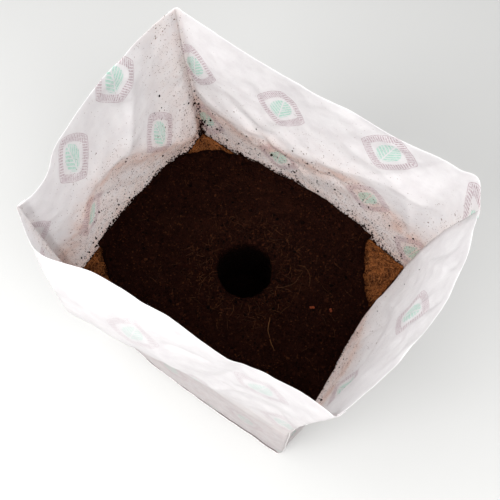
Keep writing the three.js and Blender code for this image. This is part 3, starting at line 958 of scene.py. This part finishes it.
def make_mix():
    """The potting mix, as rings from the hole's floor up, out to the border and down again."""
    outline, bare = mix_edge()
    ragged = noise_grid(outline, 14 * MM, 6, 4) * 4 * MM
    inward = unit(HOLE_CENTRE - outline)
    outline = outline + inward * (np.clip(ragged + 1.2 * MM, 0, None) * bare)[:, None]
    circle = ring_of_directions(MIX_SPOKES)
    wobble = 1 + 0.05 * noise_grid(circle, 0.5, 7, 3)[:, None]
    mouth = HOLE_CENTRE + circle * HOLE_RADIUS * wobble
    layers = []
    for share in np.linspace(0, 1, 22)[::-1]:
        depth = share * HOLE_DEPTH
        points = HOLE_CENTRE + circle * HOLE_RADIUS * wobble * (1 - 0.1 * share)
        rough = noise_grid(ring_at(points, -depth), 10 * MM, 8, 4)
        points = points + circle * (rough[:, None] * 2.2 * MM * min(1, share * 6))
        top = mix_height(points) if share < 0.02 else FILL_TOP - 2 * MM - depth
        layers.append(ring_at(points, top))
    for share in np.linspace(0, 1, MIX_RINGS)[1:]:
        points = mouth + (outline - mouth) * share
        fall = np.clip((share - 0.94) / 0.06, 0, 1)
        layers.append(ring_at(points, mix_height(points) - fall**2 * np.where(bare, 3.5, -1.5) * MM))
    layers += [ring_at(outline - inward * 0.6 * MM, z * MM) for z in MIX_FOOT]
    layers.append(ring_at(HOLE_CENTRE + circle * HOLE_RADIUS * 1.12, COIR_TOP + 0.4 * MM))
    layers.append(ring_at(HOLE_CENTRE + circle * HOLE_RADIUS * 0.98, FILL_TOP - HOLE_DEPTH - 3 * MM))
    vertices = np.concatenate([kept_inside(layer) for layer in layers])
    faces = tube_faces(len(layers), MIX_SPOKES)
    make_piece("potting_mix_fill", vertices, faces, "mix", "mix", ["potting_mix"])
    return outline


def scatter_mix(outline):
    """Loose crumbs on the mix, thickest round the hole."""
    rng = np.random.default_rng(21)
    points = rng.uniform(outline.min(0), outline.max(0), (8600, 2))
    ring = rng.normal(1.28, 0.16, 1000)[:, None] * HOLE_RADIUS
    angle = rng.uniform(0, 2 * math.pi, (1000, 1))
    points = np.vstack([points, HOLE_CENTRE + ring * np.hstack([np.cos(angle), np.sin(angle)])])
    clear = HOLE_CENTRE + (outline - HOLE_CENTRE) * CRUMB_REACH
    points = points[inside(points, clear) & (from_hole(points) > HOLE_RADIUS * 1.02)]
    pile = Pile()
    for (x, y), z in zip(points, mix_height(points)):
        size = 0.6 + 1.1 * rng.exponential(0.9)
        size = min(size, 6.5) * MM
        lump = crumb(rng, size)
        pile.add(lump + (x, y, z + size * 0.12), BALL_FACES, rng.uniform())
    pile.piece("mix_crumbs", "crumb", "mix")


def strand(rng, start, length, radius, height, lift=1.0, curl=1.2, steps=8):
    """A bent fibre lying on a surface whose height is given by the function height."""
    heading = rng.uniform(0, 2 * math.pi)
    turn = rng.uniform(-curl, curl) / steps
    points = [np.array(start, float)]
    for _ in range(steps):
        heading += turn + rng.normal(0, 0.12)
        points.append(points[-1] + length / steps * direction(heading))
    points = np.array(points)
    arch = np.sin(np.linspace(0, math.pi, steps + 1)) * lift * rng.uniform(0.3, 2.2) * MM
    spots = ring_at(points, height(points) + radius * 0.6 + arch)
    taper = radius * (1 - 0.55 * np.linspace(-1, 1, steps + 1) ** 2)
    return tube(spots, taper, 5)


def scatter_fibres(outline):
    """Short fibres lying on the mix, more of them near the hole."""
    rng = np.random.default_rng(22)
    low, high = outline.min(0), outline.max(0)
    pile = Pile()
    while len(pile.shades) < 300:
        start = rng.uniform(low, high)
        if rng.uniform() < 0.6:
            angle = rng.uniform(0, 2 * math.pi)
            start = HOLE_CENTRE + HOLE_RADIUS * rng.uniform(1.05, 2.1) * direction(angle)
        away = np.linalg.norm(start - HOLE_CENTRE)
        if not inside(start[None], outline * 0.94)[0] or away < HOLE_RADIUS * 1.15:
            continue
        length, radius = rng.uniform(4, 17) * MM, rng.uniform(0.08, 0.22) * MM
        vertices, faces = strand(rng, start, length, radius, mix_height)
        pile.add(vertices, faces, rng.uniform())
    pile.piece("mix_fibres", "mix_strand", "straw")


def coir_height(points):
    """The top of the coir: rough, and risen a little into the bag's corners."""
    broad = noise_grid(points, 26 * MM, 9, 3) * 1.8
    fine = noise_grid(points, 5 * MM, 10, 4) * 1.5
    rise = 6 * np.exp(-np.linalg.norm(np.abs(points) - (HALF_X, HALF_Y), axis=1) / (24 * MM))
    return COIR_TOP + (np.minimum(broad + fine - 0.4, 0.2) + rise) * MM


def make_coir():
    """The coir block: it fills the bag to its corners, and its top shows where the mix stops."""
    layers = []
    for z in COIR_LEVELS:
        layers.append(ring_at(resample(fill_outline(z * MM, COIR_CLEARANCE), COIR_SPOKES), z * MM))
    outline = resample(fill_outline(COIR_TOP, COIR_TOP_CLEARANCE), COIR_SPOKES)
    for share in np.linspace(1, 0.36, 80):
        points = HOLE_CENTRE + (outline - HOLE_CENTRE) * share
        layers.append(ring_at(points, coir_height(points)))
    well = HOLE_CENTRE + ring_of_directions(COIR_SPOKES) * HOLE_RADIUS * 1.2
    layers += [ring_at(well, COIR_TOP - 1 * MM), ring_at(well, FILL_TOP - HOLE_DEPTH - 8 * MM)]
    faces = tube_faces(len(layers), COIR_SPOKES)
    make_piece("coir_fill", np.concatenate(layers), faces, "coir", "coir", ["coir_block"])
    return outline


def scatter_coir(coir_outline, mix_outline):
    """Coir fibres, pith and spilt mix on the bare corners."""
    rng = np.random.default_rng(23)
    strands, pith, spill = Pile(), Pile(), Pile()
    for name, (cut_x, cut_y, _) in BARE.items():
        corner = np.array([HALF_X, HALF_Y]) * quadrant(name)
        for kind, wanted in (("strand", 330), ("pith", 420), ("spill", 260)):
            made = 0
            while made < wanted:
                start = corner - np.sign(corner) * rng.uniform(0, 1, 2) * (cut_x * MM, cut_y * MM)
                spot = start[None]
                if not inside(spot, coir_outline * 0.985)[0] or inside(spot, mix_outline * 0.985)[0]:
                    continue
                near = inside(spot, mix_outline * (1 + rng.exponential(0.05)))[0]
                if kind == "spill" and not near:
                    continue
                made += 1
                if kind == "strand":
                    length, radius = rng.uniform(3, 13) * MM, rng.uniform(0.1, 0.3) * MM
                    vertices, faces = strand(rng, start, length, radius, coir_height, 0.7)
                    if inside(vertices[:, :2], coir_outline * 0.995).all():
                        strands.add(vertices, faces, rng.uniform())
                else:
                    size = rng.uniform(0.6, 2.4) * MM
                    place = (*start, coir_height(spot)[0] + size * 0.1)
                    pile = pith if kind == "pith" else spill
                    clump = 0.45 + 1.3 * noise.fractal(Vector(place) / (11 * MM), 1.0, 2.0, 3)
                    lump = crumb(rng, size) + place
                    pile.add(lump, BALL_FACES, min(max(clump + rng.uniform(-0.2, 0.2), 0), 0.94))
    strands.piece("coir_strands", "coir_strand", "coir")
    pith.piece("coir_pith", "coir_strand", "coir")
    spill.piece("mix_spilt_on_coir", "crumb", "mix")


# ---- Crumbs stuck to the walls ----
WALL_CRUMBS = {"back": 900, "right": 300, "front": 420, "left": 900}


def stick_crumbs(wall):
    """Crumbs on a wall's inner face: a ragged heap along the fill, then ever fewer going up."""
    rng = np.random.default_rng({"back": 31, "right": 32, "front": 33, "left": 34}[wall])
    pile = Pile()
    width = WIDTH[wall]
    made = 0
    while made < WALL_CRUMBS[wall]:
        t = rng.uniform(0.01, 0.99)
        heaped = rng.uniform() < 0.45
        ridge = 1 + 2.1 * noise.noise((t * 14, 3.1, len(wall) * 2.7))
        up = rng.exponential(2.6 * max(ridge, 0.3)) if heaped else rng.exponential(52)
        if wall in ("back", "left") and rng.uniform() < 0.08:
            near_corner = rng.exponential(0.008) + 0.006
            t = near_corner if wall == "back" else 1 - near_corner
            heaped, up = True, rng.exponential(34)
        s = SIGN[wall] * (t - 0.5) * width / MM
        cut = BARE[ENDS[wall][0 if t < 0.5 else 1]][0 if wall in ("back", "front") else 1]
        bare = (width / 2 / MM - abs(s)) < cut - 4
        z = (COIR_TOP / MM if bare else FILL_TOP / MM - 1) + up * (0.6 if bare else 1)
        if z > RIM / MM - 6:
            continue
        dirt = float(stain_and_crease_shade(wall, np.array(s), np.array(z))[0])
        if not heaped and rng.uniform() > dirt:
            continue
        made += 1
        column = (STARTS[wall] + int(t * COLUMNS[wall])) % TOTAL
        row = row_at(z * MM)
        shift = rng.uniform(-0.5, 0.5, 2)
        jitter = shift[0] * (SURFACE[row, (column + 1) % TOTAL] - SURFACE[row, column])
        jitter = jitter + shift[1] * (SURFACE[min(row + 1, ROWS - 1), column] - SURFACE[row, column])
        size = min(rng.uniform(1.0, 3.0) if heaped else 0.7 + rng.exponential(0.7), 3.4) * MM
        normal = -NORMALS[row, column]
        u = np.cross(normal, (0, 0, 1.0))
        u /= np.linalg.norm(u)
        v = np.cross(normal, u)
        lump = crumb(rng, size, 1.0)
        placed = lump[:, :1] * u + lump[:, 1:2] * v + lump[:, 2:] * normal
        place = SURFACE[row, column] + jitter + normal * (SHEET / 2 + size * 0.42)
        pile.add(placed + place, BALL_FACES, rng.uniform(0, 0.93))
    pile.piece(f"crumbs_on_{wall}_wall", "crumb", "mix")


# ---- Loose chips, straw and roots ----
def make_chip(node, seed, turn):
    """A bark splinter in the place of its CAD node: a rough, layered flake."""
    low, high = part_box(node)
    middle, size = (low + high) / 2, high - low
    rng = np.random.default_rng(seed)
    length, width, height = max(size.x, size.y) * 0.9, min(size.x, size.y) * 0.5, size.z * 0.7
    rings, sides = 15, 12
    points = []
    for i in range(rings):
        share = i / (rings - 1) * 2 - 1
        swell = (1 - abs(share) ** 3.0) ** 0.5 + 0.05
        for k in range(sides):
            angle = k * 2 * math.pi / sides
            ridge = 1 + 0.14 * math.sin(3 * angle + 1) + rng.uniform(-0.07, 0.07)
            y = width / 2 * swell * math.cos(angle) * ridge
            z = height / 2 * swell * math.sin(angle) * ridge
            points.append((length / 2 * share + 0.3 * y * share, y + 0.35 * MM * math.sin(4 * share), z))
    points = spun(np.array(points), turn)
    top = mix_height(np.array([[middle.x, middle.y]]))[0]
    points += (middle.x, middle.y, top + height * 0.35)
    shade = rng.uniform(0.2, 0.9, len(points))
    make_piece(
        f"{node}_flake", points, tube_faces(rings, sides), "bark", "bark", [node], smooth=False, shade=shade,
    )


# Points along each stem, and its radius, in mm.
STEMS = {
    "straw": ([(60, -26), (66, -38), (74, -46), (86, -54)], 0.5),
    "root_fibre_left": ([(44, 6), (52, 12), (58, 22), (58, 34)], 0.3),
    "root_fibre_right": ([(48, 44), (58, 46), (68, 40), (74, 30)], 0.3),
}


def make_stem(node):
    """A stem through its listed points, in place of its CAD node, following the surface of the mix."""
    points, radius = STEMS[node]
    points = np.array(points, float) * MM
    share = np.linspace(0, 1, 40)
    line = hermite(share, np.linspace(0, 1, len(points)), points)
    flat = line + noise_grid(line, 6 * MM, 12, 3)[:, None] * 0.5 * MM
    arch = np.sin(math.pi * share) * 1.4 * MM
    height = np.convolve(np.pad(mix_height(flat), 4, mode="edge"), np.ones(9) / 9, "valid")
    spots = ring_at(flat, height + radius * MM + arch)
    radii = radius * MM * (0.8 + 0.2 * np.sin(share * 9)) * (1 - 0.5 * np.abs(share * 2 - 1) ** 4)
    vertices, faces = tube(spots, radii, 10)
    shade = np.full(len(vertices), 0.7 if node == "straw" else 0.4)
    make_piece(f"{node}_stem", vertices, faces, "straw", "straw", [node], shade=shade)


# ---- Build ----
make_base()
for wall_name in WALLS:
    make_panel(wall_name)
    stick_crumbs(wall_name)
sew_base()
for wall_name in ("back", "front"):
    for end_number, corner_name in enumerate(ENDS[wall_name]):
        sew_corner(f"{corner_name}_stitching", wall_name, end_number)
coir_edge = make_coir()
mix_border = make_mix()
scatter_mix(mix_border)
scatter_fibres(mix_border)
scatter_coir(coir_edge, mix_border)
make_chip("bark_chip_1", 41, 0.5)
make_chip("bark_chip_2", 42, 2.2)
for stem_name in STEMS:
    make_stem(stem_name)


# ---- Camera, light and floor ----
AZIMUTH, ELEVATION = math.radians(36.8), math.radians(69.2)
TARGET = Vector((-0.0066, 0.0253, FILL_TOP))
DISTANCE = 0.8156
LENS = 50.4
SENSOR = 36
LAMP_AIM = Vector((0, 0, 0.3))
WORLD_STRENGTH = 0.52
EXPOSURE = 0.27


def add_camera():
    back = Vector((
        math.sin(AZIMUTH) * math.cos(ELEVATION),
        -math.cos(AZIMUTH) * math.cos(ELEVATION),
        math.sin(ELEVATION),
    ))
    data = bpy.data.cameras.new("camera")
    data.lens = LENS
    data.sensor_width = SENSOR
    camera = add_object("camera", data)
    camera.location = TARGET + back * DISTANCE
    camera.rotation_euler = back.to_track_quat("Z", "Y").to_euler()
    bpy.context.scene.camera = camera


def add_area(name, place, size, power):
    data = bpy.data.lights.new(name, "AREA")
    data.size = size
    data.energy = power
    lamp = add_object(name, data)
    lamp.location = place
    lamp.rotation_euler = (Vector(place) - LAMP_AIM).to_track_quat("Z", "Y").to_euler()
    lamp.visible_camera = False


def add_studio():
    mesh = bpy.data.meshes.new("floor")
    mesh.from_pydata([(-6, -6, 0), (6, -6, 0), (6, 6, 0), (-6, 6, 0)], [], [(0, 1, 2, 3)])
    mesh.materials.append(floor_material())
    floor = add_object("floor", mesh)
    world = bpy.data.worlds.new("world")
    world.use_nodes = True
    background = world.node_tree.nodes["Background"]
    background.inputs["Color"].default_value = (1, 1, 1, 1)
    background.inputs["Strength"].default_value = WORLD_STRENGTH
    bpy.context.scene.world = world
    add_area("key_light", (-0.3, -1.2, 1.45), 1.0, 25)
    add_area("top_left_light", (-0.5, -0.2, 1.85), 0.9, 10)
    add_area("top_right_light", (0.8, -0.4, 1.75), 0.8, 20)
    bpy.context.scene.view_settings.view_transform = "Standard"
    bpy.context.scene.view_settings.exposure = EXPOSURE


add_camera()
add_studio()
